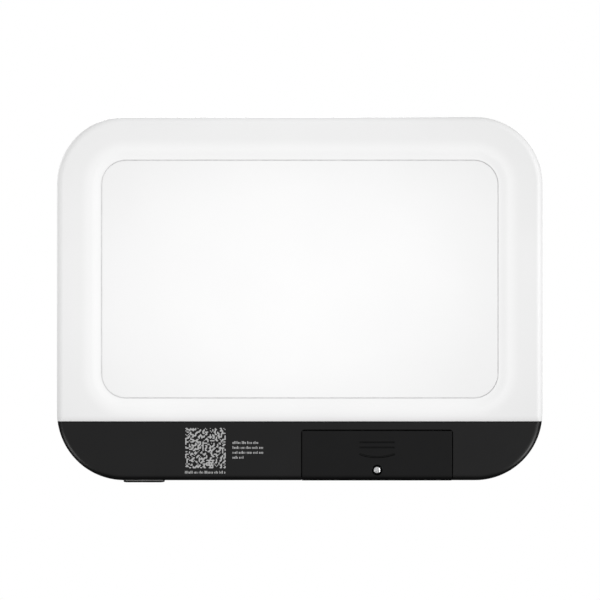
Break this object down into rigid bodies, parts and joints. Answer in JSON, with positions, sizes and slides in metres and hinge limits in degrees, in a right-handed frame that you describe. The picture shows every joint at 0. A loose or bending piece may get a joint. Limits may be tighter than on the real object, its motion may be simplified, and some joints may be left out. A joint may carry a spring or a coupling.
{
  "type": "light table",
  "caption": "Flat battery-powered LED light table: white casing with rounded corners, opal lit face, black end strip with sliding battery door and edge push-button.",
  "frame": {"origin": "centre of the footprint, on the plane of the back that the table lies on", "axes": "+X along the longer side, +Z out of the lit face, -Y towards the black strip and its push-button"},
  "size_m": [0.324, 0.2442, 0.02],
  "materials": {
    "white_shell": "white satin moulding",
    "white_sheet": "milky white satin sheet",
    "diffuser": "opal acrylic, lit from behind",
    "acrylic": "clear acrylic plate",
    "white_film": "white reflecting film",
    "phosphor": "yellow LED phosphor",
    "black_shell": "fine matte black moulding",
    "steel": "bright plated steel",
    "spring_steel": "nickel-plated spring steel",
    "cell_can": "plain blue-grey cell sleeve",
    "circuit_board": "green solder mask",
    "chip_black": "black moulded package",
    "plunger_white": "white nylon",
    "coil": "wound ferrite coil",
    "can": "bare aluminium can",
    "red_wire": "red insulated wire",
    "black_wire": "black insulated wire",
    "white_wire": "white insulated wire"
  },
  "bodies": {
    "casing": {"rear_housing": "white_shell", "front_frame": "white_shell", "back_panel": "white_sheet", "diffuser_panel": "diffuser", "light_guide_plate": "acrylic", "reflector_sheet": "white_film", "led_board": "white_film", "led_01": "phosphor", "led_02": "phosphor", "led_03": "phosphor", "led_04": "phosphor", "led_05": "phosphor", "led_06": "phosphor", "led_07": "phosphor", "led_08": "phosphor", "led_09": "phosphor", "led_10": "phosphor", "led_11": "phosphor", "led_12": "phosphor", "chin_rear_cover": "black_shell", "chin_front_cover": "black_shell", "battery_holder": "black_shell", "battery_cell_1": "cell_can", "battery_cell_2": "cell_can", "battery_cell_3": "cell_can", "contact_negative": "spring_steel", "contact_bridge": "spring_steel", "contact_positive": "spring_steel", "holder_screw_1": "steel", "holder_screw_2": "steel", "board_screw_1": "steel", "board_screw_2": "steel", "main_board": "circuit_board", "tact_switch_body": "chip_black", "driver_chip": "chip_black", "inductor": "coil", "capacitor": "can", "battery_lead_red": "red_wire", "battery_lead_black": "black_wire", "led_lead": "white_wire"},
    "door": {"battery_door": "black_shell"},
    "door_screw": {"door_screw": "steel"},
    "power_button": {"power_button": "black_shell"},
    "switch_plunger": {"tact_switch_plunger": "plunger_white"}
  },
  "joints": [
    {"name": "door_slide", "type": "slide", "parent": "casing", "child": "door", "axis": [0, -1, 0], "range_m": [0, 0.036]},
    {"name": "door_screw_back_out", "type": "slide", "parent": "door", "child": "door_screw", "axis": [0, 0, -1], "range_m": [0, 0.0045]},
    {"name": "power_button_press", "type": "slide", "parent": "casing", "child": "power_button", "axis": [0, 1, 0], "range_m": [0, 0.0006], "stiffness_N_per_m": 500},
    {"name": "switch_plunger_press", "type": "slide", "parent": "casing", "child": "switch_plunger", "axis": [0, 1, 0], "range_m": [0, 0.0006]}
  ],
  "couplings": [
    {"joint": "switch_plunger_press", "follows": "power_button_press", "ratio": 1}
  ]
}
